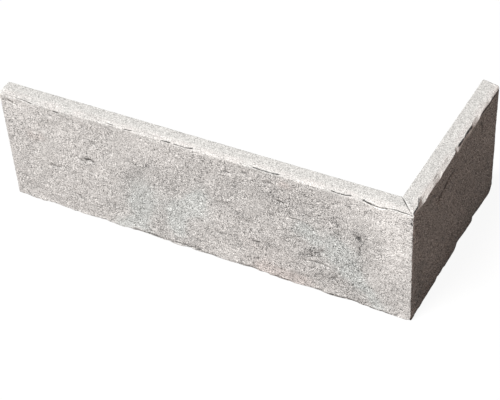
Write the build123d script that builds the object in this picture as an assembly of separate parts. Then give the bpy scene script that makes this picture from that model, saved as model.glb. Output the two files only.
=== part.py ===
from build123d import *
import os

# Corner brick slip of the normal format: two thin legs that wrap the corner of a wall and meet in a mitre.
# Millimetres. The origin is on the wall's corner line, level with the bed. x runs along the long leg,
# y along the short leg and z up. The long leg's face looks to -Y and the short leg's face to +X.

# Format
long_leg = 240.0                # over the outside of the corner
short_leg = 115.0               # over the outside of the corner
height = 71.0
thickness = 10.0

# Ends, square at the back and drawn in towards the face
long_draft = 0.5                # by which the face stops short at the end of the long leg
short_draft = 2.5               # the same at the end of the short leg

# Hand-moulded arrises round the two faces, worn away in waves
top_reach = 0.4 * thickness     # how far back from the face a top arris slopes
bed_reach = 0.2 * thickness     # how far back a lower arris slopes
overrun = 1.0                   # by which what is taken away stands clear of the body

# Height lost at the face, as (share of the leg from its left end as seen from outside, millimetres)
top_long_wear = [
    (-0.01, 2.0), (0.06, 0.8), (0.15, 1.7), (0.25, 0.9), (0.34, 0.6), (0.42, 0.9),
    (0.52, 0.6), (0.65, 0.8), (0.77, 0.5), (0.85, 0.9), (0.90, 1.3), (1.01, 0.6),
]
top_short_wear = [
    (-0.01, 0.6), (0.09, 0.5), (0.21, 0.9), (0.27, 0.4), (0.37, 0.8), (0.425, 2.0),
    (0.48, 0.6), (0.63, 0.5), (0.78, 0.9), (0.90, 1.6), (1.01, 2.8),
]
bed_long_wear = [
    (-0.01, 1.4), (0.06, 0.3), (0.12, 1.2), (0.165, 0.3), (0.24, 1.1), (0.29, 0.5), (0.36, 1.2), (0.44, 0.4),
    (0.54, 0.9), (0.635, 1.1), (0.715, 0.3), (0.78, 1.35), (0.817, 0.3), (0.855, 1.2), (0.92, 0.4), (1.01, 0.6),
]
bed_short_wear = [
    (-0.01, 0.6), (0.10, 0.3), (0.18, 0.7), (0.29, 0.3), (0.36, 0.7), (0.445, 0.3),
    (0.58, 2.2), (0.67, 0.7), (0.78, 2.7), (0.88, 1.9), (0.94, 1.7), (1.01, 9.0),
]

# Mitre seam, open as a fine groove on the top and on the bed
seam_width = 0.08 * thickness
seam_depth = 0.05 * thickness
corner_wear = 0.6               # height lost where both faces meet

# Plan of the two legs, from the outer corner round by the short leg
plan = Polyline(
    (thickness, -thickness),
    (thickness, short_leg - thickness - short_draft),
    (0, short_leg - thickness),
    (0, 0),
    (thickness - long_leg, 0),
    (thickness - long_leg + long_draft, -thickness),
    close=True,
)
body = extrude(make_face(plan), height)

# The two faces, each seen from outside with its own left end as the start
long_face = Plane(origin=(thickness - long_leg, -thickness, 0), x_dir=(1, 0, 0), z_dir=(0, -1, 0))
short_face = Plane(origin=(thickness, -thickness, 0), x_dir=(0, 1, 0), z_dir=(1, 0, 0))


def worn_strip(face, length, wear, reach, level, up):
    # what an arris has lost: ruled from a straight line behind the face to a wavy line just in front of it
    steeper = (reach + overrun) / reach
    waves = [(share * length, level - up * lost * steeper) for share, lost in wear]
    first, last = waves[0], waves[-1]
    beyond = level + up * overrun
    edge = Spline(*waves, tangents=[(1, 0)] * len(waves))  # each point is a crest or a hollow
    rest = Polyline(last, (last[0], beyond), (first[0], beyond), first)
    front = face.offset(overrun) * make_face([edge, rest])
    start = Polyline((first[0], level), (last[0], level), (last[0], beyond), (first[0], beyond), close=True)
    back = face.offset(-reach) * make_face(start)
    return loft([back, front], ruled=True)


body -= worn_strip(long_face, long_leg, top_long_wear, top_reach, height, 1)
body -= worn_strip(short_face, short_leg, top_short_wear, top_reach, height, 1)
body -= worn_strip(long_face, long_leg, bed_long_wear, bed_reach, 0, -1)
body -= worn_strip(short_face, short_leg, bed_short_wear, bed_reach, 0, -1)

# Section across the mitre at the inner corner, looking along the seam to the outer corner
across = Plane(origin=(0, 0, 0), x_dir=(1, 1, 0), z_dir=(1, -1, 0))


def seam(level, up):
    # V groove along the mitre, dropping towards the worn outer corner
    rim = seam_width / 2 * (seam_depth + overrun) / seam_depth
    vee = Polyline(
        (0, level - up * seam_depth),
        (rim, level + up * overrun),
        (-rim, level + up * overrun),
        close=True,
    )
    start = across.offset(-overrun) * make_face(vee)
    run = Vector(thickness, -thickness, -up * corner_wear)
    return extrude(start, amount=run.length + 2 * overrun, dir=run)


body -= seam(height, 1)
body -= seam(0, -1)

corner_slip = body.solid()
corner_slip.label = "corner_slip"

os.makedirs("parts", exist_ok=True)
export_step(corner_slip, "parts/corner_slip.step")
print("corner_slip", round(corner_slip.volume), "mm3", corner_slip.bounding_box().size)
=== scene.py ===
import math
import random

import bmesh
import bpy
import numpy as np
from mathutils import Matrix, Vector, noise
from mathutils.bvhtree import BVHTree


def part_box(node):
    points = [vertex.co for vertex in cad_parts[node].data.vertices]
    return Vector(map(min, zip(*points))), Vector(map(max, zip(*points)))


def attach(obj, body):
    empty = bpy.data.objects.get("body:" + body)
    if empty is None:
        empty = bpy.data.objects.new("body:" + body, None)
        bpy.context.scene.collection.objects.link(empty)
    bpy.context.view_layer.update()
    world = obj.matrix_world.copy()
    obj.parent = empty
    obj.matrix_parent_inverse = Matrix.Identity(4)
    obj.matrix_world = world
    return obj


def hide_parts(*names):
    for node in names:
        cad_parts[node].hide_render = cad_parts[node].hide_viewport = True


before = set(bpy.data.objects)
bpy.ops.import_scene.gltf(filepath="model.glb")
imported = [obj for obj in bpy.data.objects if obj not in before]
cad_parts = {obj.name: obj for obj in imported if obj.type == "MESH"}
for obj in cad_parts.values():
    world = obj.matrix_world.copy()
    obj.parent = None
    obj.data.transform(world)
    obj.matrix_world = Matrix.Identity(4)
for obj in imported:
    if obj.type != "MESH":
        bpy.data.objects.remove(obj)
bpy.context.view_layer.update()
scene = bpy.context.scene
mm = 0.001


class Wire:  # a shader socket that takes part in sums
    def __init__(self, tree, socket=None):
        self.tree = tree
        self.socket = socket

    def node(self, kind, settings=None, links=None, out=0):
        made = self.tree.nodes.new(kind)
        for name, value in (settings or {}).items():
            setattr(made, name, value)
        for name, value in (links or {}).items():
            if isinstance(value, Wire):
                self.tree.links.new(value.socket, made.inputs[name])
            else:
                made.inputs[name].default_value = value
        return Wire(self.tree, made.outputs[out] if made.outputs else None)

    def math(self, operation, first, second):
        return self.node("ShaderNodeMath", {"operation": operation}, {0: first, 1: second})

    def __add__(self, other):
        return self.math("ADD", self, other)

    def __radd__(self, other):
        return self.math("ADD", other, self)

    def __sub__(self, other):
        return self.math("SUBTRACT", self, other)

    def __rsub__(self, other):
        return self.math("SUBTRACT", other, self)

    def __mul__(self, other):
        return self.math("MULTIPLY", self, other)

    def __rmul__(self, other):
        return self.math("MULTIPLY", other, self)

    def ease(self, low, high):  # soft step from 0 to 1
        links = {"Value": self, "From Min": low, "From Max": high}
        return self.node("ShaderNodeMapRange", {"interpolation_type": "SMOOTHSTEP"}, links)

    def blend(self, first, second):  # two colours by this share
        return self.node("ShaderNodeMix", {"data_type": "RGBA"}, {0: self, 6: first, 7: second}, out=2)


# The slip: a sheet of rows and columns folded round the section of the solid
slip = {
    "node": "corner_slip",
    "slot": "fired_clay",
    "longDraft": 0.5,           # mm by which the face stops short at the long end
    "shortDraft": 2.5,
    "columnStep": (6.0, 0.40, 0.60),    # mm from an end that are fine, the fine step and the plain one
    "faceStep": (3.0, 0.33, 0.74),
    "topStep": (2.64, 0.22, 1.0, 0.9, 0.3),     # the last two are for the other end
    "bedStep": (2.0, 0.40, 1.5),
    "backStep": (1.5, 0.75, 6.0),
    "endStep": 1.2,             # mm between the cuts on the two ends
    "nudge": 0.03,              # mm inside the solid at which its surface is felt
    "shortLowerEdge": [         # mm along, mm up: the short leg broke off in steps there
        (-10, 0.3), (-7, 0), (-5.3, 0), (-4.6, 0.4), (-1, 0.5), (0.5, 0.3), (1.5, 0), (5, 0), (6, 0.4),
        (10, 0.3), (16, 0.2), (20, 0), (24.4, 0), (25, 1.3), (27, 0.5), (28.6, 0.3), (31, 0.5), (33, 1.0),
        (34.5, 0.2), (36.5, 0), (44.5, 0), (47, 0.1), (49.3, 0.2), (50.8, 1.0), (51.8, 2.2), (54, 2.4),
        (57, 2.2), (60, 1.8), (66, 1.3), (72, 1.0), (73.8, 1.3), (74.4, 3.3), (77.7, 2.7), (81, 2.3),
        (87, 1.9), (93, 1.5), (96.4, 1.1), (99.2, 1.1), (100.9, 2.0), (101.6, 3.6), (102.5, 5.0),
    ],
    "shortTopFlakes": [         # mm along, mm down at the arris, mm back, mm down in a step where it starts
        (-10, 0.6, 0.35, 0.3), (-9, 1.1, 0.4, 0.7), (-7, 1.4, 0.4, 0.9), (-5, 1.6, 0.42, 1.0),
        (-3.5, 1.6, 0.5, 0.9), (-2.5, 1.7, 0.7, 0.8), (-1.5, 1.95, 1.0, 0.7), (-0.5, 2.3, 1.35, 0.6),
        (0.5, 2.7, 1.75, 0.5), (1.5, 2.9, 2.1, 0.3), (2.2, 2.9, 2.2, 0.1), (3, 2.9, 2.3, 0),
        (4, 2.8, 2.3, 0), (6, 2.6, 2.2, 0), (8, 2.2, 2.2, 0), (12, 2.15, 2.2, 0), (15, 1.9, 2.2, 0),
        (17, 2.1, 2.2, 0), (18.5, 2.6, 2.1, 0), (21, 2.8, 2.0, 0.2), (23, 2.9, 2.0, 0.2),
        (25, 2.2, 2.1, 0), (27, 1.8, 2.2, 0), (33, 1.6, 2.2, 0), (38, 1.3, 2.2, 0), (40, 1.0, 2.2, 0),
        (41.5, 0.4, 2.0, 0), (43, 0.2, 1.5, 0), (44, 2.2, 1.5, 0.1), (45, 2.6, 1.5, 0.1),
        (46.5, 2.4, 1.3, 0.2), (47.5, 2.4, 0.8, 0.8), (48.5, 2.5, 0.6, 1.2), (50.5, 2.3, 0.5, 1.2),
        (52.5, 2.0, 0.4, 1.1), (54, 1.6, 0.35, 0.8), (55, 1.6, 0.35, 0.8), (56.5, 2.1, 0.45, 1.2),
        (58, 2.5, 0.6, 1.3), (60, 2.8, 0.75, 1.3), (62, 2.7, 0.65, 1.3), (63.7, 2.4, 0.5, 1.2),
        (65, 2.2, 0.5, 0.9), (66, 2.2, 0.9, 0.2), (67, 2.2, 1.3, 0), (69, 2.3, 1.5, 0), (72, 2.4, 1.5, 0),
        (74, 2.0, 1.4, 0), (76, 1.1, 1.1, 0), (78, 0.6, 0.9, 0), (80, 0.4, 0.8, 0), (82, 0.8, 0.9, 0),
        (85, 1.1, 1.0, 0), (87, 1.3, 1.1, 0), (89, 1.6, 1.3, 0), (91, 1.2, 1.1, 0), (92.5, 0.6, 0.9, 0),
        (94, 1.0, 1.0, 0), (96, 1.2, 1.1, 0), (98, 1.4, 1.2, 0), (100, 1.4, 1.1, 0), (102.5, 1.0, 0.8, 0),
    ],
    "solidReach": 4.0,          # mm back to which the solid's own worn arris goes
    "lowerReach": 2.2,          # mm back to which the short leg's lower arris differs from the solid's
}


def spaced(length, steps):  # shares from 0 to 1, closer together at both ends
    reach, fine, plain, *other = steps
    farReach, farFine = other or (reach, fine)
    near = [i * fine for i in range(round(reach / fine))]
    far = [length - i * farFine for i in reversed(range(round(farReach / farFine)))]
    middle = length - reach - farReach
    count = round(middle / plain)
    between = [reach + middle * i / count for i in range(count + 1)]
    return [s / length for s in near + between + far]


def solidInMillimetres():
    cad = bmesh.new()
    cad.from_mesh(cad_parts[slip["node"]].data)
    bmesh.ops.remove_doubles(cad, verts=cad.verts, dist=1e-6)
    bmesh.ops.scale(cad, vec=(1 / mm,) * 3, verts=cad.verts)
    tree = BVHTree.FromBMesh(cad)
    cad.free()
    return tree


def foldedSheet():
    low, high = (Vector(corner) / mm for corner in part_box(slip["node"]))
    thick, tall = high.x, high.z
    nudge = slip["nudge"]
    solid = solidInMillimetres()

    def plan(leg, share, depth):  # place in plan on a leg, from its left end as seen from outside
        inward = depth / thick
        if leg == 0:
            atFace = (low.x + slip["longDraft"]) * (1 - share) + thick * share
            atBack = low.x * (1 - share)
            return Vector((atFace + (atBack - atFace) * inward, depth - thick, 0))
        atFace = (high.y - slip["shortDraft"]) * share - thick * (1 - share)
        atBack = high.y * share
        return Vector((thick - depth, atFace + (atBack - atFace) * inward, 0))

    def felt(leg, share, depth, up):  # height of the solid's top or bed there
        inside = plan(leg, min(max(share, 2e-4), 1 - 2e-4), min(max(depth, nudge), thick - nudge))
        start = inside + Vector((0, 0, tall / 2 + up * tall))
        hit = solid.ray_cast(start, Vector((0, 0, -up)))[0]
        return hit.z if hit else tall / 2 + up * tall / 2

    lowerAlong, lowerUp = zip(*slip["shortLowerEdge"])
    flakeAlong, *flakes = zip(*slip["shortTopFlakes"])

    def faded(depth, reach):
        return max(0, 1 - depth / reach)

    # mm by which the lower arris is above the solid's, and mm by which the solid's top arris is worn
    def rimOff(leg, share):
        if leg == 0:
            return 0.0, 0.0
        lower = float(np.interp(plan(1, share, 0).y, lowerAlong, lowerUp)) - felt(1, share, 0, -1)
        return lower, tall - felt(1, share, 0, 1)

    def flakeOf(leg, share):  # mm down at the arris, mm back and mm of step of the flake there
        if leg == 0:
            return 0.0, 0.01, 0.0
        return tuple(float(np.interp(plan(1, share, 0).y, flakeAlong, values)) for values in flakes)

    faceShares = spaced(tall, slip["faceStep"])
    topDepths = [thick * s for s in spaced(thick, slip["topStep"])[1:]]
    backShares = spaced(tall, slip["backStep"])[1:]
    bedDepths = [thick * (1 - s) for s in spaced(thick, slip["bedStep"])[1:]]
    rows = len(faceShares) + len(topDepths) + len(backShares) + len(bedDepths) - 1
    columns = [(0, s) for s in spaced(thick - low.x, slip["columnStep"])]
    columns += [(1, s) for s in spaced(thick + high.y, slip["columnStep"])[1:]]

    bm = bmesh.new()
    names = ("leg", "along", "depth", "overTop", "overBed", "steep")
    leg, along, depthIn, overTop, overBed, steep = (bm.verts.layers.float.new(name) for name in names)
    bmesh.ops.create_grid(bm, x_segments=len(columns) - 1, y_segments=rows, size=1)
    grid = {}
    for v in bm.verts:
        column = round((v.co.x + 1) / 2 * (len(columns) - 1))
        grid[column, round((v.co.y + 1) / 2 * rows)] = v
    for i, (side, share) in enumerate(columns):
        lower, worn = rimOff(side, share)
        down, back, step = flakeOf(side, share)
        slope = (down - step) / back
        bed, top = felt(side, share, 0, -1) + lower, felt(side, share, 0, 1) + worn - down
        loop = [(0, bed + (top - bed) * s) for s in faceShares]
        for depth in topDepths:
            flaked = step + slope * (back - depth) if depth < back else 0.0
            restored = worn * faded(depth, slip["solidReach"]) - flaked
            loop.append((depth, min(tall, felt(side, share, depth, 1) + restored)))
        loop += [(thick, loop[-1][1] * (1 - s)) for s in backShares]
        for depth in bedDepths:
            restored = lower * faded(depth, slip["lowerReach"])
            loop.append((depth, max(0, felt(side, share, depth, -1) + restored)))
        loop[-1] = loop[0]
        for j, (depth, height) in enumerate(loop):
            v = grid[i, j]
            v.co = plan(side, share, depth) + Vector((0, 0, height))
            v[leg] = side
            v[along] = v.co.y if side else v.co.x
            v[depthIn] = depth
            v[overTop] = top - height if depth == 0 else -depth  # mm below the arris, or back from it
            v[overBed] = height - bed if depth == 0 else -depth
            v[steep] = slope if depth < back else 0.0
    bmesh.ops.remove_doubles(bm, verts=bm.verts, dist=1e-4)

    # close both ends and cut them small
    ends = bmesh.ops.holes_fill(bm, edges=[e for e in bm.edges if e.is_boundary])["faces"]
    for end in ends:
        end.material_index = 1
    for step in range(1, int(tall / slip["endStep"])):
        cutEnds(bm, Vector((0, 0, 1)), step * slip["endStep"])
    for step in range(1, int(thick / slip["endStep"])):
        cutEnds(bm, Vector((0, -1, 0)), step * slip["endStep"])
        cutEnds(bm, Vector((1, 0, 0)), step * slip["endStep"])
    bmesh.ops.recalc_face_normals(bm, faces=bm.faces)
    print("sheet folded,", len(columns), "columns of", rows, "rows")
    return bm, low, high


def cutEnds(bm, normal, place):
    faces = [f for f in bm.faces if f.material_index == 1]
    edges = {e for f in faces for e in f.edges}
    points = {v for f in faces for v in f.verts}
    geometry = faces + sorted(edges, key=lambda e: e.index) + sorted(points, key=lambda v: v.index)
    bmesh.ops.bisect_plane(bm, geom=geometry, dist=0.05, plane_co=normal * place, plane_no=normal)


def layerOf(bm, name):
    layer = bm.verts.layers.float[name]
    return np.array([v[layer] for v in bm.verts])


def cloud(places, width, seed):  # soft noise, about -0.5 to 0.5, in swellings of this width
    shift = Vector((seed * 17.31, seed * 9.73, seed * 5.17))
    return np.array([noise.noise(Vector(p) / width + shift) for p in places.tolist()])


def bell(distance, width):
    return np.exp(-(distance / width) ** 2)


def nearLine(along, across, points):  # distance to a run of straight lines
    best = np.full(len(along), 1e9)
    for (x0, y0), (x1, y1) in zip(points, points[1:]):
        dx, dy = x1 - x0, y1 - y0
        t = np.clip(((along - x0) * dx + (across - y0) * dy) / (dx * dx + dy * dy), 0, 1)
        best = np.minimum(best, np.hypot(along - x0 - t * dx, across - y0 - t * dy))
    return best


class Survey:  # where each point of the sheet is
    def __init__(self, bm, low, high):
        self.places = np.array([v.co for v in bm.verts])
        self.leg, self.along, self.depth = (layerOf(bm, name) for name in ("leg", "along", "depth"))
        self.overTop, self.overBed = layerOf(bm, "overTop"), layerOf(bm, "overBed")
        self.steep = layerOf(bm, "steep")
        self.up = self.places[:, 2]
        self.onEnd = np.array([all(f.material_index == 1 for f in v.link_faces) for v in bm.verts])
        self.onFace = (self.depth < 0.01) & ~self.onEnd
        self.onBack = (self.depth > high.x - 0.01) & ~self.onEnd
        between = ~self.onFace & ~self.onBack & ~self.onEnd
        self.onTop = between & (self.up > high.z / 2)
        self.onBed = between & (self.up < high.z / 2)
        self.fromCorner = np.where(self.leg < 0.5, high.x - self.along, self.along + high.x)
        self.fromEnd = np.where(self.leg < 0.5, self.along - low.x, high.y - self.along)
        # soft waves, 9, 3 and 1.4 mm wide
        self.wide, self.wideUp = cloud(self.places, 9, 1), cloud(self.places, 9, 6)
        self.fine, self.fineUp = cloud(self.places, 3, 2), cloud(self.places, 3, 4)
        self.tiny, self.tinyUp = cloud(self.places, 1.4, 3), cloud(self.places, 1.4, 5)


# Worn and broken arrises, before the surface gets its relief
arrises = {
    "topChips": [   # leg, along, half length, mm down the face, mm back: broken off the top arris
        (0, -222, 5, 0.8, 1.0), (0, -205, 6, 0.7, 1.0), (0, -10, 6, 0.8, 1.4), (0, 4, 5, 0.6, 1.0),
        (0, -100, 14, 0.6, 1.0), (0, -45, 8, 0.6, 1.0),
    ],
    "bedChips": [   # leg, along, half length, mm up the face, mm back: broken off the lower arris
        (0, -22, 4, 0.6, 1.4), (0, -118, 3, 0.6, 1.2), (0, -149, 5, 0.7, 1.2), (0, -80, 4, 0.8, 1.4),
    ],
    "bedNicks": (5, 46, (0.8, 2.4), (0.25, 0.75)),  # seed, how many tries, half lengths, mm up the face
    "nickBack": 1.5,        # how far back a nick goes, as a share of its height
    "shake": (1.2, 0.5),    # mm by which the borders of chips wander, in wide and in narrow waves
    "cornerChips": [    # mm up, half height, size: broken off the outer corner
        (66, 3, 0.6), (53, 2, 0.7), (41, 1.5, 0.7), (27, 2, 0.8), (14, 1.5, 0.7), (0.5, 2.2, 1.1),
    ],
    # on each leg, mm each side of an arris that are eased and how often
    "topRound": ((1.8, 10), (0.6, 1)),
    "bedRound": ((0.8, 3), (0.4, 1)),
    "backRound": ((0.9, 2), (0.9, 2)),
    "cornerRound": ((0.7, 1), (0.7, 1)),
    "endRound": ((0.9, 2), (0.5, 1)),
    "endFree": 2.5,         # mm by the ends that the rounding of top and bed leaves alone
    "seamFree": 0.9,        # the same by the mitre seam
}


def chipArrises(bm, low, high):
    at = Survey(bm, low, high)
    wideShake, narrowShake = arrises["shake"]
    shaken = at.along + wideShake * at.fine + narrowShake * at.tiny
    outward = np.where((at.leg < 0.5)[:, None], np.array((0, -1, 0)), np.array((1, 0, 0)))
    moved = np.zeros_like(at.places)
    seed, count, halves, falls = arrises["bedNicks"]
    dice = random.Random(seed)
    nicks = []
    for _ in range(count):
        spot = dice.uniform(low.x + 4, high.x + high.y)
        fall = dice.uniform(*falls)
        half = dice.uniform(*halves)
        if spot < high.x:   # the short leg's lower arris has its own steps
            nicks.append((0, spot, half, fall, arrises["nickBack"] * fall))
    chips = {"topChips": arrises["topChips"], "bedChips": arrises["bedChips"] + nicks}
    for key, over, way, band in (("topChips", at.overTop, -1, at.onFace | at.onTop),
                                 ("bedChips", at.overBed, 1, at.onFace | at.onBed)):
        for side, spot, half, fall, back in chips[key]:
            size = np.clip(1.1 - ((shaken - spot) / half) ** 2, 0.001, 1)   # full in the middle
            share = np.clip(1 - np.where(over >= 0, over / fall, -over / back) / size, 0, 1) * size
            share *= band * (np.abs(at.leg - side) < 0.5)
            moved += share[:, None] * (-outward * back / 2 + np.array((0, 0, way * fall / 2)))
    upShaken = at.up + wideShake * at.fineUp
    for level, half, size in arrises["cornerChips"]:
        share = np.clip(1.1 - ((upShaken - level) / half) ** 2, 0, 1)
        share *= np.clip(1 - np.hypot(at.fromCorner, at.depth) / size, 0, 1)
        moved += share[:, None] * np.array((-size / 2, size / 2, 0))
    for v, move in zip(bm.verts, moved.tolist()):
        v.co += Vector(move)


def easeArrises(bm, low, high):
    names = ("leg", "overTop", "overBed", "depth")
    legOf, overTop, overBed, depth = (bm.verts.layers.float[name] for name in names)
    thick, tall = high.x, high.z
    everyAxis = {"use_axis_x": True, "use_axis_y": True, "use_axis_z": True}

    def seam(v):
        return abs(v.co.x + v.co.y) < arrises["seamFree"] and v[depth] > 0.5

    def corner(v):
        return max(thick - v.co.x, v.co.y + thick)

    def ends(v):
        return min(abs(v.co.x - low.x), abs(v.co.y - high.y))

    def back(v):
        return thick - v[depth] + min(abs(v.co.z - tall), abs(v.co.z))

    def topArris(v):
        return abs(v[overTop]) if v.co.z > tall / 2 else 99

    def bedArris(v):
        return abs(v[overBed]) if v.co.z < tall / 2 else 99

    for far, key in ((topArris, "topRound"), (bedArris, "bedRound"), (back, "backRound"),
                     (corner, "cornerRound"), (ends, "endRound")):
        for side, (reach, passes) in enumerate(arrises[key]):
            near = [v for v in bm.verts if far(v) < reach and abs(v[legOf] - side) < 0.5 and not seam(v)]
            if far in (topArris, bedArris):
                near = [v for v in near if ends(v) > arrises["endFree"]]
            for _ in range(passes):
                bmesh.ops.smooth_vert(bm, verts=near, factor=0.5, **everyAxis)


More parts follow.
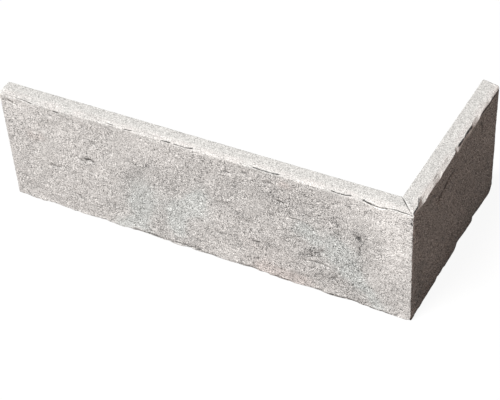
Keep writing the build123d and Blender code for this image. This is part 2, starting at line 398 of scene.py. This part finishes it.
# Relief left by the mould, the kiln and handling, and painted shade in its cracks, scratches and pits and
# under the lower arris. Places on a face are (mm along, mm up), where along is x on the long leg and y on
# the short one. Cracks by the top arris are (mm along, mm below the arris).
weatherAndShade = {
    "seed": 11,
    "lumps": [(40, 0.24), (12, 0.24), (4.0, 0.2), (1.6, 0.13)],     # width and depth of the swellings, mm
    "skim": 0.22,           # mm of them that is left off
    "fade": {               # mm over which they grow from an edge, and their share right at it
        "bed": (2.5, 0.25), "shortTop": (4.0, 0.3), "end": (4.0, 0.1), "corner": (4.0, 0.3),
    },
    # on the top, mm back over which they fade, their least share, and the short leg's share
    "onTop": (3.0, 0.2, 0.35),
    "sawn": (0.3, 0.25),            # their share on the backs and ends, and on the bed
    "shake": (0.9, 0.4),            # mm by which marks wander, in wide and in narrow waves
    "topShake": (0.35, 0.2),        # the same for cracks, up and down
    "shortShake": 0.4,              # share of both on the short leg
    "cracks": [     # leg, width, depth, how dark the painted shade in it is, points
        (0, 0.40, 0.4, 0.35, [(-227, -0.8), (-223, -0.2), (-219, 0.1)]),
        (0, 0.40, 0.6, 0.9, [(-219.5, 0.2), (-213, 0.9), (-209, 1.3)]),
        (0, 0.42, 0.4, 0.9, [(-195, 1.3), (-192, 1.6)]),
        (0, 0.42, 0.5, 0.7, [(-161, -1.2), (-158, -1.1)]),
        (0, 0.45, 0.8, 1.0, [(-152, -0.3), (-149.3, -0.6), (-146.8, -1.0)]),
        (0, 0.32, 0.3, 0.45, [(-137, -2.2), (-128, -2.1)]),
        (0, 0.40, 0.9, 1.0, [(-128.5, -0.5), (-126, -0.9), (-123.5, -0.8)]),
        (0, 0.40, 0.9, 1.0, [(-121, -0.7), (-118, -0.45), (-114, -0.5), (-112, -0.8), (-110.5, -1.3)]),
        (0, 0.40, 0.9, 1.0, [(-76, -1.2), (-73.5, -1.0), (-70, -0.65), (-66, -0.55), (-61.5, -1.1)]),
        (0, 0.36, 0.6, 0.9, [(-33, -0.8), (-29, -0.6), (-25, -0.6), (-23, -1.6)]),
        (0, 0.45, 1.1, 1.0, [(-16.5, -1.4), (-14, -0.3), (-10, 0.7), (-7.5, 1.1), (-5, 0.6), (-1, -0.4)]),
        (0, 0.36, 0.6, 0.9, [(-1, -0.4), (2, -0.4), (5.5, 0), (8, 0.5), (10, 0.7)]),
        (0, 0.45, 0.2, 1.0, [(9.4, 2.4), (9.4, 2.9)]),
        (0, 0.50, 0.2, 1.0, [(9.4, 5.5), (9.4, 6.3)]),
        (0, 0.45, 0.2, 0.9, [(9.4, 12.5), (9.4, 13.0)]),
        # on the short leg these are painted shade under the top arris and in the steps behind its flakes,
        # most with no groove
        (1, 0.24, 0, 1.0, [(-10, 0.2), (-9.6, -0.3), (-9, -0.5), (-7, -0.5), (-5, -0.52),
                           (-3.5, -0.6), (-2.5, -0.8), (-1.5, -1.1)]),
        (1, 0.30, 0, 1.0, [(-1.5, -1.1), (-0.5, -1.45), (0.5, -1.85), (1.5, -2.2), (1.9, -2.4)]),
        (1, 0.30, 0.1, 0.5, [(18, -1.4), (20, -1.7), (22, -1.6)]),
        (1, 0.24, 0, 1.0, [(47.2, -1.0), (48.5, -0.7), (50.5, -0.6), (52.5, -0.5), (54, -0.45)]),
        (1, 0.26, 0, 1.0, [(55.3, -0.45), (56.5, -0.55), (58, -0.7), (60, -0.85),
                           (62, -0.75), (63.7, -0.6), (65.2, -0.5)]),
        (1, 0.75, 0.1, 0.9, [(77, 1.0), (81, 1.0), (86, 1.0), (92, 1.0), (97, 1.0), (102, 1.0)]),
    ],
    "scratchDark": (0.35, (0.7, 1.0)),  # painted shade of a scratch: least dark, and more for each mm, on each leg
    "scratches": [  # leg, width, depth, how ragged, points
        (0, 0.60, 0.50, 0.2, [(-203, 29), (-199, 29.6), (-196, 31)]),
        (0, 0.60, 0.30, 0.3, [(-174, 54.8), (-170.5, 53.4)]),
        (0, 0.70, 0.35, 0.2, [(-188, 13.2), (-185, 12)]),
        (0, 0.55, 0.30, 0.7, [(-3, 44), (0, 42.3), (3, 41)]),
        (0, 0.55, 0.50, 0.4, [(-49, 18.8), (-45, 19.4), (-42, 20.2), (-38, 19.9), (-35, 19.2)]),
        (0, 0.60, 0.50, 0.0, [(-63.5, 53.3), (-59.5, 53.0)]),
        (0, 0.60, 0.40, 0.3, [(-100.5, 18.5), (-97, 18.2)]),
        (0, 0.80, 0.35, 0.0, [(-92.5, 62.9), (-89.5, 62.2)]),
        (0, 0.80, 0.35, 0.0, [(-82, 64.9), (-79.5, 63.9)]),
        (0, 0.60, 0.35, 0.4, [(-138.4, 23.2), (-135.4, 22.9)]),
        (0, 0.55, 0.30, 0.6, [(-87, 37.6), (-83.5, 37)]),
        (0, 0.55, 0.30, 0.6, [(-99.5, 40.4), (-95, 40.6)]),
        (0, 0.60, 0.40, 0.6, [(-17, 44), (-17.6, 37), (-19, 30), (-22.5, 26.4), (-26, 24.5)]),
        (0, 0.50, 0.20, 0.3, [(-22, 66.5), (-23, 62), (-24, 57)]),
        (0, 0.60, 0.40, 0.6, [(-33.5, 12), (-30.5, 14.4), (-28, 18)]),
        (0, 0.55, 0.30, 0.6, [(-59, 30.4), (-55, 31.2), (-50, 30.6)]),
        (0, 0.55, 0.25, 0.8, [(-88, 57), (-85.5, 55.5), (-86.5, 53.4), (-89, 53.8), (-89.2, 56)]),
        (0, 0.55, 0.35, 0.5, [(-78, 20.6), (-74.5, 21.6), (-71, 22)]),
        (0, 0.60, 0.40, 0.5, [(-183.5, 43), (-184.5, 41), (-182, 39.6), (-179, 39)]),
        (0, 0.80, 0.60, 0.1, [(-178.5, 41.0), (-175.5, 41.4), (-173, 41.0)]),
        (0, 0.70, 0.45, 0.1, [(-224.3, 66), (-221.8, 65.6)]),
        (0, 0.60, 0.40, 0.5, [(-42.5, 26.5), (-39.5, 27.4), (-37.5, 29.4)]),
        (1, 1.00, 0.80, 0.0, [(22, 54), (26, 56), (31, 57.4), (36, 58.2), (41, 58.2)]),
        (1, 0.60, 0.30, 0.9, [(41, 58.2), (46, 56), (51, 53.2)]),
    ],
    "paintUp": 0.3,         # mm by which the painted shade of a scratch lies above its groove
    "pits": [       # leg, along, up, radius, depth
        (0, -181, 40.2, 1.2, 0.2), (0, -176, 41.2, 1.2, 0.3), (0, -213, 36, 1.2, 0.4),
        (0, -186, 12.5, 1.2, 0.3), (0, -172, 54, 1.3, 0.3), (0, -177, 64, 1.3, 0.45),
        (0, -162, 51, 1.3, 0.4), (0, -70, 62.5, 1.2, 0.45), (0, -67, 63.5, 1.0, 0.4),
        (0, -96, 51.5, 1.1, 0.45), (0, -88.5, 47.5, 1.2, 0.4), (0, -51, 45, 1.0, 0.45),
        (0, -112, 60, 1.0, 0.4), (0, -38.5, 28, 1.4, 0.4), (0, -18.5, 45, 2.0, 0.6),
        (0, -28, 22, 1.3, 0.5), (0, -57, 45, 1.0, 0.3), (0, -163, 14.5, 1.4, 0.4), (0, -45, 49, 1.2, 0.4),
        (0, -44, 23.5, 1.5, 0.4), (1, -5.5, 59.5, 0.9, 0.9), (1, -4, 55.5, 1.0, 0.9),
        (1, -7.5, 62.0, 0.7, 0.5), (1, -9.0, 1.6, 1.3, 0.9), (1, 80, 62, 1.6, 0.5),
    ],
    "pitDark": (1.2, 0.8),  # how dark the painted shade in a pit is for each mm, and at most
    "shadedShape": (4.0, 0.6, 0.35, 0.65),  # mm that fade at its ends, half height, depth, how dark its painted shade is
    "shaded": [     # leg, from, to, mm up: where the lower arris is rolled under, with painted shade
        (0, -156, -130, 0.7), (0, -135, -112, 1.5), (0, -117, -99, 0.8), (0, -91, -72, 0.8),
        (0, -70, -55, 0.6), (0, -48, 6, 0.6), (1, 20, 30, 0.4), (1, 48, 60, 0.4), (1, 72, 84, 0.4),
    ],
    "pores": (200, 0.68),           # how many over both faces, and the share on the long leg
    "poreRadius": (0.5, 1.1),
    "poreDepth": (0.2, 0.4),        # as a share of the radius
    "deepest": 2.5,                 # mm
}


def weatherAndShadeSlip(bm, low, high):
    bm.normal_update()
    dice = random.Random(weatherAndShade["seed"])
    at = Survey(bm, low, high)
    leg, along, up, overTop, overBed = at.leg, at.along, at.up, at.overTop, at.overBed
    short = leg > 0.5

    def grown(far, edge):  # share of the swellings at this distance from an edge
        reach, least = weatherAndShade["fade"][edge]
        return np.clip(far / reach, least, 1)

    # swellings all over, weaker where a saw or a wire has been and by the edges
    topReach, topLeast, topShort = weatherAndShade["onTop"]
    onTop = np.clip(1.0 - at.depth / topReach, topLeast, 1) * np.where(short, topShort, 1)
    onFace = grown(overBed, "bed") * np.where(short, grown(overTop, "shortTop"), 1)
    worn = np.where(at.onFace, onFace, onTop) * grown(at.fromEnd, "end") * grown(at.fromCorner, "corner")
    sawnShare, bedShare = weatherAndShade["sawn"]
    rough = np.where(at.onEnd | at.onBack, sawnShare, np.where(at.onBed, bedShare, worn))
    inward = np.full(len(up), -weatherAndShade["skim"])
    for k, (width, amount) in enumerate(weatherAndShade["lumps"]):
        inward += amount * (0.5 + cloud(at.places, width, 10 + k))
    inward = rough * np.clip(inward, 0, None)

    # cracks, scratches and pits: grooves, and painted shade in them
    paintedShade = np.zeros(len(up))
    shaky = np.where(short, weatherAndShade["shortShake"], 1)
    wideShake, narrowShake = weatherAndShade["shake"]
    wideTop, narrowTop = weatherAndShade["topShake"]
    alongShaken = along + shaky * (wideShake * at.fine + narrowShake * at.tiny)
    upShaken = up + shaky * (wideShake * at.fineUp + narrowShake * at.tinyUp)
    topShaken = overTop + shaky * (wideTop * at.fine + narrowTop * at.tiny)
    broken = np.clip(0.7 + 1.0 * at.tiny + 1.2 * at.fine, 0, 1)     # low in the gaps of a ragged scratch
    for side, width, deep, dark, points in weatherAndShade["cracks"]:
        mark = bell(nearLine(along + 0.5 * at.fine, topShaken, points), width)
        mark *= (leg == side) * (at.onFace | at.onTop)
        inward += deep * mark
        paintedShade = np.maximum(paintedShade, mark * dark)
    leastDark, moreDark = weatherAndShade["scratchDark"]
    for side, width, deep, ragged, points in weatherAndShade["scratches"]:
        here = (leg == side) * at.onFace * (1 - ragged * (1 - broken))
        inward += deep * here * bell(nearLine(alongShaken, upShaken, points), width)
        paint = here * bell(nearLine(alongShaken, upShaken - weatherAndShade["paintUp"], points), width)
        paintedShade = np.maximum(paintedShade, paint * min(1.0, leastDark + deep * moreDark[side]))
    pits = list(weatherAndShade["pits"])
    count, longShare = weatherAndShade["pores"]
    smallest, largest = weatherAndShade["poreRadius"]
    for _ in range(count):
        side = 0 if dice.random() < longShare else 1
        spot = dice.uniform(low.x + 4, high.x) if side == 0 else dice.uniform(-high.x, high.y - 4)
        radius = smallest + (largest - smallest) * dice.random() ** 3
        level = dice.uniform(2, high.z - 3)
        pits.append((side, spot, level, radius, radius * dice.uniform(*weatherAndShade["poreDepth"])))
    pitDark, darkest = weatherAndShade["pitDark"]
    for side, spot, level, radius, deep in pits:
        near = (np.abs(along - spot) < 4 * radius) & (np.abs(up - level) < 4 * radius)
        mark = bell(np.hypot(alongShaken - spot, (upShaken - level) * 1.25), radius)
        mark *= near & at.onFace & (leg == side)
        inward += deep * mark
        paintedShade = np.maximum(paintedShade, mark * min(darkest, deep * pitDark))
    # where the lower arris rolls under: a shallow groove and painted shade
    fading, half, deep, dark = weatherAndShade["shadedShape"]
    for side, start, stop, level in weatherAndShade["shaded"]:
        mark = np.clip(np.minimum(along - start, stop - along) / fading, 0, 1) * (leg == side) * at.onFace
        mark *= bell(overBed - level + 0.8 * at.fine, half) * np.clip(1.1 + 1.4 * at.fineUp, 0.3, 1)
        inward += deep * mark
        paintedShade = np.maximum(paintedShade, dark * mark)

    values = stainsAndPaintedLightOver(at)
    values["paintedShade"] = np.maximum(paintedShade, values["paintedShade"])
    inward = np.clip(inward, 0, weatherAndShade["deepest"])
    for v, far in zip(bm.verts, inward.tolist()):
        v.co -= v.normal * far
    for name, numbers in values.items():
        layer = bm.verts.layers.float.new(name)
        for v, number in zip(bm.verts, numbers.tolist()):
            v[layer] = number
    print("weathered, deepest", round(inward.max(), 2), "mm, mean", round(inward[at.onFace].mean(), 2))


# Stains, and painted light and shade, on the faces, as streaks: leg, half width in mm, strength, points
# (mm along, mm up)
stainsAndPaintedLight = {
    "tone": [       # darker below 0, paler above
        (0, 3.0, -0.20, [(-182, 40.3), (-175, 41.8)]), (0, 3.6, -0.22, [(-167, 13), (-162, 15.5)]),
        (0, 3.5, -0.10, [(-157, 34), (-154, 18), (-150, 12)]), (0, 4.5, -0.20, [(-151, 38), (-146, 42)]),
        (0, 3.5, -0.14, [(-145, 44), (-138, 50), (-131, 45), (-124, 39)]),
        (0, 3.5, -0.15, [(-134, 16), (-134, 8)]), (0, 4.0, -0.12, [(-119, 8), (-114, 7)]),
        (0, 4.0, -0.12, [(-111, 48), (-108, 60)]), (0, 2.0, -0.17, [(-98, 40), (-92, 41)]),
        (0, 2.0, -0.15, [(-89, 37.5), (-83, 36)]), (0, 2.2, -0.13, [(-90, 55), (-86, 54)]),
        (0, 3.0, -0.10, [(-98, 19), (-84, 18)]), (0, 1.6, -0.15, [(-78, 21), (-71, 22.5)]),
        (0, 1.8, -0.22, [(-63, 53), (-59, 53)]), (0, 2.0, -0.14, [(-68, 57), (-65, 58)]),
        (0, 10, -0.09, [(-78, 58), (-36, 56)]), (0, 2.4, -0.16, [(-47, 49), (-42, 49)]),
        # the second streak here is painted shade in the big pit
        (0, 2.6, -0.20, [(-30, 53), (-28.5, 38)]), (0, 3.6, -0.40, [(-19.5, 46), (-17.5, 44)]),
        (0, 2.0, -0.15, [(-18, 42), (-18.5, 36)]), (0, 3.6, -0.30, [(-50, 22.5), (-41, 28.5)]),
        (0, 2.6, -0.16, [(-32, 15), (-30, 17)]), (0, 4.0, -0.18, [(-42, 13), (-34, 12)]),
        (0, 2.0, -0.14, [(-23, 25), (-17, 30), (-11, 32)]), (0, 6.0, -0.14, [(-22, 5), (-19, 10)]),
        (0, 5.0, -0.10, [(1, 8), (1, 16)]), (0, 1.8, -0.12, [(-203, 29.5), (-198, 30)]),
        (0, 2.0, -0.09, [(-214, 35), (-212, 37)]), (0, 1.6, -0.14, [(-187, 12.5), (-185, 12.5)]),
        (0, 3.0, -0.08, [(-213, 47), (-204, 49)]), (0, 7.0, 0.13, [(-224, 62), (-215, 63)]),
        (0, 6.0, 0.08, [(-140, 59), (-122, 60)]), (0, 6.0, 0.15, [(-116, 29), (-107, 32)]),
        (0, 4.0, 0.08, [(-96, 33), (-90, 32)]), (0, 3.5, 0.15, [(-95, 9.5), (-89, 8)]),
        (0, 3.0, 0.09, [(-62, 38), (-58, 41)]), (0, 9.0, 0.27, [(-4, 60), (2, 48)]),
        (0, 7.0, 0.15, [(2, 40), (0, 30)]), (0, 7.0, 0.07, [(-10, 12), (-6, 28)]),
        (0, 30, -0.055, [(-92, 36), (-38, 36)]), (0, 12, -0.04, [(-76, 40), (-64, 26)]),
        (0, 3.0, 0.10, [(-24, 60), (-24, 48)]), (0, 1.2, 0.22, [(-58, 45), (-56, 45)]),
        # the last streak here is painted highlight on a ledge above a scratch
        (0, 0.9, 0.22, [(-63, 39), (-61, 39)]), (0, 0.9, 0.2, [(-50, 21.5), (-42, 22)]),
        # the second streak here is painted highlight on the lit wall of the big pit
        (0, 1.0, 0.2, [(-29, 22), (-27, 22.5)]), (0, 1.0, 0.35, [(-15.6, 44.5), (-15, 43.8)]),
        (1, 5.0, -0.30, [(2, 28), (-1, 16), (0, 8)]), (1, 4.0, -0.15, [(51, 39), (60, 35)]),
        # the second streak here is painted shade under the flakes and cracks of the top arris
        (1, 3.5, -0.18, [(90, 31), (92, 24)]), (1, 4.0, -0.20, [(79, 64), (82, 58)]),
        (1, 2.5, 0.16, [(35, 46), (40, 44)]), (1, 4.0, 0.12, [(87, 47), (95, 42)]),
        (1, 5.0, 0.10, [(91, 60), (93, 56)]), (1, 3.5, 0.20, [(-6, 62), (-7, 48)]),
        # next, the short face darker towards its bottom as painted shade, and a pale strip down it by the
        # corner as painted light
        (1, 26, -0.11, [(-10, 0), (103, 0)]), (1, 1.3, 0.8, [(-10, 69), (-10, 56)]),
        (1, 1.3, 0.3, [(-10, 52), (-10, 30)]), (1, 20, -0.035, [(40, 36), (60, 36)]),
    ],
    "lime": [       # pale green-grey bloom
        (0, 8.5, 1.0, [(-145, 25), (-142.5, 29)]), (0, 4.5, 1.0, [(-146, 18), (-146, 7)]),
        (0, 4.0, 1.0, [(-160, 3), (-154, 7)]), (0, 6.5, 1.0, [(-122, 25), (-112, 31)]),
        (0, 4.5, 1.0, [(-125.5, 20), (-124.5, 12)]), (0, 4.5, 1.0, [(-111, 35), (-107.5, 40)]),
        (0, 4.5, 1.0, [(-50, 40), (-43, 36)]), (0, 6.0, 1.0, [(-31.5, 36), (-31, 27)]),
        (0, 5.0, 0.8, [(-24, 34), (-23, 22)]), (0, 4.0, 1.0, [(-22, 20), (-15, 13), (-8, 4)]),
    ],
    "iron": [       # pinkish burn
        (0, 2.8, 0.4, [(-212, 47), (-207, 49)]), (0, 5.5, 0.6, [(-73, 3), (-66, 5), (-60, 3), (-50, 3)]),
        (0, 5.0, 0.12, [(-80, 19), (-58, 18)]), (0, 2.0, 0.5, [(-60, 65), (-57, 65)]),
    ],
    "coarse": [     # stronger or weaker grain
        (0, 28, 0.10, [(-75, 36), (-30, 36)]), (0, 14, -0.14, [(2, 20), (2, 50)]),
        (1, 300, 0.65, [(40, 36), (50, 36)]),
    ],
    "topTone": [    # on the top: points (mm along, mm back from the face)
        # the first streak is painted shade beside the mitre seam
        (0, 1.0, -0.16, [(3.5, 6.5), (1, 3)]), (0, 30, -0.05, [(-230, 0), (-190, 0)]),
        (0, 3.0, -0.09, [(-228, 1), (-170, 1)]),
    ],
    "paintedLightUnderLip": [   # painted highlight of lit burrs, on a face: points (mm along, mm below the top arris)
        (1, 1.0, 0.4, [(77, 2.5), (82, 2.5)]), (1, 1.3, 0.35, [(84, 2.6), (98, 3.0)]),
        (0, 1.2, 0.22, [(-13, 2.4), (-4, 2.2), (9, 2.0)]),
    ],
    # painted light: steep flakes are painted paler against the shade they get
    "flakePaintedLight": (1.35, 0.45, 0.8), # a flake is paler the steeper it is: how fast, from what slope, at most
    "topFace": (1.8, 0.4),          # mm down each face to which those go
    "cornerPale": (0.20, 0.7),      # strength and width of the pale line down the outer corner
    "lipTop": (4.2, 1.2),           # mm back to which the pale top arris goes, and its soft edge
    "lipFace": 6.0,                 # mm down the face
    "seam": (0.35, 0.4, 2.5),       # mm off the mitre, half width of its line of painted shade, mm that fade by the face
    "shake": (2.5, 1.2),            # mm by which borders wander, in wide and in narrow waves
}


def stainsAndPaintedLightOver(at):
    wideShake, narrowShake = stainsAndPaintedLight["shake"]
    alongShaken = at.along + wideShake * at.wide + narrowShake * at.fine
    upShaken = at.up + wideShake * at.wideUp + narrowShake * at.fineUp

    def streaks(key, across, where, level=False):  # level ones keep their strength up to their border
        total = np.zeros(len(at.up))
        for side, half, amount, points in stainsAndPaintedLight[key]:
            far = nearLine(alongShaken, across, points)
            share = 1 / (1 + (far / half) ** 4) if level else bell(far, half)
            total += amount * (at.leg == side) * where * share
        return total

    strength, width = stainsAndPaintedLight["cornerPale"]
    downFace = np.take(stainsAndPaintedLight["topFace"], at.leg.astype(int))
    overFace = at.onTop + at.onFace * np.clip(1 - at.overTop / downFace, 0, 1)
    # tone: stains, and the painted light and shade listed in the tables
    tone = streaks("tone", upShaken, at.onFace) + streaks("topTone", at.depth, overFace)
    # painted highlight under the top arris
    tone += streaks("paintedLightUnderLip", at.overTop, at.onFace)
    # painted light on steep flakes
    rate, least, most = stainsAndPaintedLight["flakePaintedLight"]
    tone += np.clip(rate * (at.steep - least), 0, most) * overFace
    onCorner = bell(at.fromCorner, width) * (at.leg == 0) * at.onFace
    tone += strength * onCorner * np.clip(0.7 + 2 * at.wide, 0, 1)
    reach, edge = stainsAndPaintedLight["lipTop"]
    lipTop = np.clip((at.overTop + reach) / edge, 0, 1)
    lipFace = np.clip(1 - at.overTop / stainsAndPaintedLight["lipFace"], 0, 1) ** 2
    lip = np.where(at.overTop < 0, lipTop, lipFace) * (at.onFace | at.onTop)
    # painted shade on one wall of the mitre seam
    off, half, faint = stainsAndPaintedLight["seam"]
    seam = bell((at.places[:, 0] + at.places[:, 1] + off) / math.sqrt(2), half) * (at.onTop | at.onBed)
    return {
        "paintedShade": seam * np.clip(0.8 + at.fine, 0, 1) * np.clip(at.depth / faint - 0.3, 0.1, 1),
        "tone": tone,
        "coarse": 1.0 + streaks("coarse", upShaken, at.onFace),
        "lime": np.clip(streaks("lime", upShaken, at.onFace, True), 0, 1),
        "iron": np.clip(streaks("iron", upShaken, at.onFace, True), 0, 1),
        "lip": lip * np.clip(0.75 + 1.2 * at.wide, 0.2, 1),
        "sawn": np.where(at.onFace, np.clip(0.9 - at.overTop / 4, 0, 1), 1.0),
    }


# Fired clay
clay = {
    "face": (0.539, 0.528, 0.513),
    "sawn": (0.537, 0.537, 0.521),
    "lime": (0.522, 0.539, 0.527),
    "iron": (0.53, 0.475, 0.45),
    "lip": (0.552, 0.537, 0.520),   # the pale top arris
    "bright": 1.08,
    "paintedShade": (0.9, 0.15, 0.8),  # how much darker painted shade makes cracks, pits and grooves, and where its soft edge starts and ends
    "mottle": (30, 0.25),       # size as swellings to the metre, and strength
    "blotch": (130, 0.34),
    "grain": (1250, 0.7),
    "sand": (2600, 2.6),
    "hatch": (1100, 0.35, 0.35),    # the second is the share to which it is drawn out
    "specks": (1800, 0.75),
    "nicks": (700, 0.45, 0.42, 20), # then the share to which they are drawn out, and their tilt in degrees
    "pores": (430, 0.27),
    "grit": (1300, 0.12, 0.3),      # pale grit: size, strength, and more of it in the lime
    "calm": (0.75, 0.42),           # how much less of the blotches and of the grain there is off the faces
    "relief": (0.0002, 0.6),        # height of the grain in metres, and strength
    "roughness": (0.86, 0.2),       # and how much the grain changes it
    "shine": 0.25,
}


def clayMaterial():
    material = bpy.data.materials.new("firedClay")
    material.use_nodes = True
    tree = material.node_tree
    tree.nodes.clear()
    wire = Wire(tree)
    place = wire.node("ShaderNodeTexCoord", out="Object")

    def painted(name):
        return wire.node("ShaderNodeAttribute", {"attribute_name": name}, out="Fac")

    def soft(scale, detail=2.0, rough=0.5, where=place):
        links = {"Vector": where, "Scale": scale, "Detail": detail, "Roughness": rough}
        return wire.node("ShaderNodeTexNoise", None, links) - 0.5

    def drawn(x, y, z, tilt=0.0):  # the place, drawn out along one way
        links = {"Vector": place, "Rotation": (0, math.radians(tilt), 0), "Scale": (x, y, z)}
        return wire.node("ShaderNodeMapping", {"vector_type": "POINT"}, links)

    names = ("paintedShade", "tone", "coarse", "lime", "iron", "lip", "sawn")
    paintedShade, tone, coarse, lime, iron, lip, sawn = (painted(name) for name in names)
    mottle = soft(clay["mottle"][0], 3.0)
    blotch = soft(clay["blotch"][0], 3.0, 0.6)
    grain = soft(clay["grain"][0], 1.0, 0.6)
    sand = soft(clay["sand"][0], 0.0)
    hatchSize, hatchShare, hatchStrength = clay["hatch"]
    flat = soft(hatchSize, 0.0, 0.5, drawn(hatchShare, hatchShare, 1.0))
    upright = soft(hatchSize, 0.0, 0.5, drawn(1.0, 1.0, hatchShare))
    speck = soft(clay["specks"][0], 1.0).ease(-0.06, -0.2)
    nickSize, nickDark, nickShare, nickTilt = clay["nicks"]
    nick = soft(nickSize, 1.0, 0.5, drawn(nickShare, nickShare, 1.0, nickTilt)).ease(-0.17, -0.27)
    pore = (soft(clay["pores"][0], 2.0, 0.6) - blotch * 0.3).ease(-0.14, -0.26)
    gritSize, gritPale, gritMore = clay["grit"]
    grit = soft(gritSize, 0.0).ease(0.2, 0.3)

    dark, softly, fully = clay["paintedShade"]
    evenly = (0.5 + coarse * 0.5) * (1.0 - sawn * clay["calm"][0])
    finely = coarse * (1.0 - sawn * clay["calm"][1])
    strewn = (mottle * clay["mottle"][1] + blotch * clay["blotch"][1]) * evenly
    fine = grain * clay["grain"][1] + sand * clay["sand"][1] + (flat + upright) * hatchStrength
    strewn = strewn + fine * finely
    bright = (clay["bright"] + strewn + tone) * (1.0 - speck * finely * clay["specks"][1])
    bright = bright * (1.0 - pore * evenly * clay["pores"][1]) * (1.0 - nick * evenly * nickDark)
    # painted shade darkens cracks, scratches, pits, the mitre seam and the rolled lower arris here
    bright = bright * (1.0 + grit * (gritPale + lime * gritMore)) * (1.0 - paintedShade.ease(softly, fully) * dark)

    colour = sawn.blend((*clay["face"], 1), (*clay["sawn"], 1))
    colour = lip.blend(colour, (*clay["lip"], 1))
    colour = lime.blend(colour, (*clay["lime"], 1))
    colour = iron.blend(colour, (*clay["iron"], 1))
    colour = wire.node("ShaderNodeMix", {"data_type": "RGBA", "blend_type": "MULTIPLY"},
                       {0: 1.0, 6: colour, 7: bright}, out=2)

    height = grain * 1.2 + sand * 0.5 - pore * 0.9 - speck * 0.4 - nick * 0.8
    tall, strength = clay["relief"]
    normal = wire.node("ShaderNodeBump", None, {"Strength": strength, "Distance": tall, "Height": height})
    rough, rougher = clay["roughness"]
    links = {"Base Color": colour, "Roughness": rough + grain * rougher, "Normal": normal}
    surface = wire.node("ShaderNodeBsdfPrincipled", None, {**links, "Specular IOR Level": clay["shine"]})
    wire.node("ShaderNodeOutputMaterial", None, {"Surface": surface})
    return material


bm, low, high = foldedSheet()
chipArrises(bm, low, high)
easeArrises(bm, low, high)
weatherAndShadeSlip(bm, low, high)
for name in ("leg", "along", "depth", "overTop", "overBed", "steep"):
    bm.verts.layers.float.remove(bm.verts.layers.float[name])
for face in bm.faces:
    face.material_index = 0
    face.smooth = True
print("open edges", sum(not e.is_manifold for e in bm.edges))
bmesh.ops.scale(bm, vec=(mm,) * 3, verts=bm.verts)
mesh = bpy.data.meshes.new("cornerSlip")
bm.to_mesh(mesh)
bm.free()
mesh.materials.append(clayMaterial())
cornerSlip = bpy.data.objects.new("cornerSlip", mesh)
scene.collection.objects.link(cornerSlip)
triangles = sum(len(polygon.vertices) - 2 for polygon in mesh.polygons)
print("slip mesh", len(mesh.vertices), "points", triangles, "triangles")
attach(cornerSlip, "root")
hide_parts(slip["node"])

# Floor, lights and camera
studio = {
    "floorSize": 4.0,
    "floorColour": (0.95, 0.95, 0.95),
    "floorShade": 0.07,                 # how much of the shadow shows on the white floor
    "floorBounce": (0.188, 0.158, 0.142),
    "keyFrom": (-0.22, -0.60, 0.80),    # towards the lamp
    "keyDistance": 4.0,
    "keySize": 1.4,
    "keyPower": 258.0,
    "fill": (0.117, 0.0802, 0.0652),
    "aim": (-0.0862, 0.0035, 0.0355),
    "azimuth": 30.86,
    "elevation": 40.16,
    "roll": -3.93,
    "distance": 0.7151,
    "lens": 99.69,
}


def seenDirectly(wire):  # 1 for the camera, for reflections and through glass
    path = wire.node("ShaderNodeLightPath", out="Is Camera Ray")
    outs = path.socket.node.outputs
    share = wire.math("MAXIMUM", path, Wire(wire.tree, outs["Is Glossy Ray"]))
    return wire.math("MAXIMUM", share, Wire(wire.tree, outs["Is Transmission Ray"]))


def makeFloor():
    bm = bmesh.new()
    bmesh.ops.create_grid(bm, x_segments=1, y_segments=1, size=studio["floorSize"] / 2)
    mesh = bpy.data.meshes.new("floor")
    bm.to_mesh(mesh)
    bm.free()
    floor = bpy.data.objects.new("floor", mesh)
    scene.collection.objects.link(floor)
    material = bpy.data.materials.new("paleFloor")
    material.use_nodes = True
    tree = material.node_tree
    tree.nodes.clear()
    wire = Wire(tree)
    seen = seenDirectly(wire)
    colour = seen.blend((*studio["floorBounce"], 1), (*studio["floorColour"], 1))
    matt = wire.node("ShaderNodeBsdfDiffuse", None, {"Color": colour})
    white = wire.node("ShaderNodeEmission", None, {"Color": (1, 1, 1, 1), "Strength": 1.0})
    both = wire.node("ShaderNodeMixShader", None, {0: seen * (1 - studio["floorShade"]), 1: matt, 2: white})
    wire.node("ShaderNodeOutputMaterial", None, {"Surface": both})
    mesh.materials.append(material)


def makeWorld():
    world = bpy.data.worlds.new("studio")
    scene.world = world
    world.use_nodes = True
    tree = world.node_tree
    tree.nodes.clear()
    wire = Wire(tree)
    colour = seenDirectly(wire).blend((*studio["fill"], 1), (1, 1, 1, 1))
    back = wire.node("ShaderNodeBackground", None, {"Color": colour, "Strength": 1.0})
    wire.node("ShaderNodeOutputWorld", None, {"Surface": back})


def makeKey():
    data = bpy.data.lights.new("key", "AREA")
    data.size = studio["keySize"]
    data.energy = studio["keyPower"]
    lamp = bpy.data.objects.new("key", data)
    scene.collection.objects.link(lamp)
    towards = Vector(studio["keyFrom"]).normalized()
    lamp.location = Vector(studio["aim"]) + towards * studio["keyDistance"]
    lamp.rotation_mode = "QUATERNION"
    lamp.rotation_quaternion = towards.to_track_quat("Z", "Y")


def makeCamera():
    data = bpy.data.cameras.new("camera")
    data.lens = studio["lens"]
    data.sensor_width = 36.0
    data.clip_start = 0.01
    camera = bpy.data.objects.new("camera", data)
    scene.collection.objects.link(camera)
    turn, rise = math.radians(studio["azimuth"]), math.radians(studio["elevation"])
    back = Vector((math.sin(turn) * math.cos(rise), -math.cos(turn) * math.cos(rise), math.sin(rise)))
    camera.location = Vector(studio["aim"]) + back * studio["distance"]
    camera.rotation_mode = "QUATERNION"
    roll = Matrix.Rotation(math.radians(studio["roll"]), 3, "Z").to_quaternion()
    camera.rotation_quaternion = back.to_track_quat("Z", "Y") @ roll
    scene.camera = camera


makeFloor()
makeWorld()
makeKey()
makeCamera()
scene.view_settings.view_transform = "Standard"
print("floor, lights and camera are in place")
